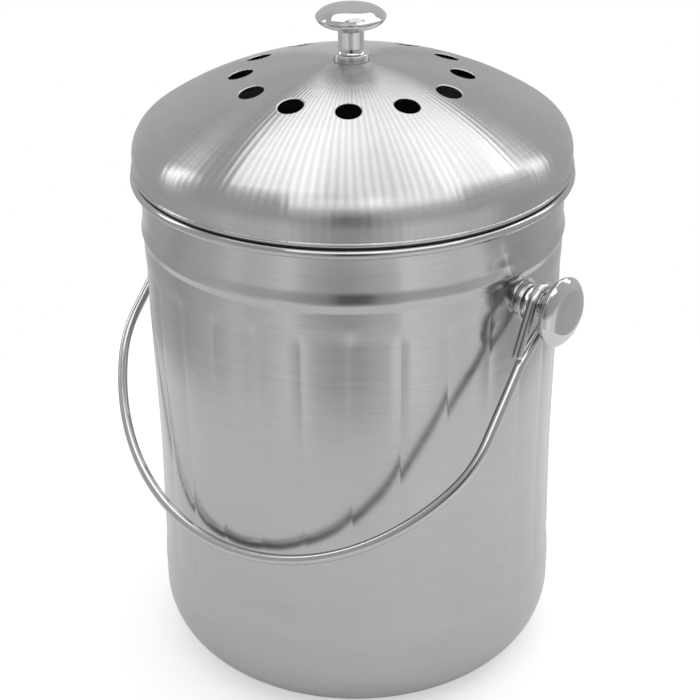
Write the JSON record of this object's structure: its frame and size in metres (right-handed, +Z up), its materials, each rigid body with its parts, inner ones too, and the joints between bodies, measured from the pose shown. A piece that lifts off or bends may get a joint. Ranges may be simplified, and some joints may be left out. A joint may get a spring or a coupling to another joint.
{
  "type": "compost pail",
  "caption": "Steel countertop compost pail with a fluted wall, a swinging wire bail on side knobs and a vented lift-off domed lid that holds a charcoal filter.",
  "frame": {"origin": "on the ground at the middle of the base", "axes": "+Z up; X along the line through the two handle knobs, where the bail pivots; the bail hangs on the -Y side"},
  "size_m": [0.2134, 0.1805, 0.2831],
  "materials": {
    "brushed_steel": "fine circumferential brushing",
    "polished_wire": "polished",
    "knob_chrome": "mirror polished",
    "fastener_steel": "satin",
    "black_rubber": "matte",
    "retainer_plastic": "satin moulded",
    "charcoal_felt": "needled felt"
  },
  "bodies": {
    "pail": {"pail_shell": "brushed_steel", "handle_knob_left": "knob_chrome", "handle_knob_right": "knob_chrome", "handle_screw_left": "fastener_steel", "handle_screw_right": "fastener_steel", "handle_washer_left": "fastener_steel", "handle_washer_right": "fastener_steel", "handle_seal_left": "black_rubber", "handle_seal_right": "black_rubber"},
    "bail": {"bail_handle": "polished_wire"},
    "lid": {"lid_shell": "brushed_steel", "lid_inner_ring": "fastener_steel", "lid_gasket": "black_rubber", "lid_knob": "knob_chrome", "lid_screw": "fastener_steel", "lid_washer": "fastener_steel"},
    "filter_tray": {"filter_retainer": "retainer_plastic"},
    "filter": {"filter_disc": "charcoal_felt"}
  },
  "joints": [
    {"name": "bail_swing", "type": "hinge", "parent": "pail", "child": "bail", "pos_m": [0, 0, 0.18165], "axis": [-1, 0, 0], "range_deg": [0, 278]},
    {"name": "lid_lift", "type": "slide", "parent": "pail", "child": "lid", "axis": [0, 0, 1], "range_m": [0, 0.12]},
    {"name": "filter_drop", "type": "slide", "parent": "lid", "child": "filter_tray", "axis": [0, 0, -1], "range_m": [0, 0.016]},
    {"name": "filter_lift", "type": "slide", "parent": "filter_tray", "child": "filter", "axis": [0, 0, 1], "range_m": [0, 0.012]}
  ]
}
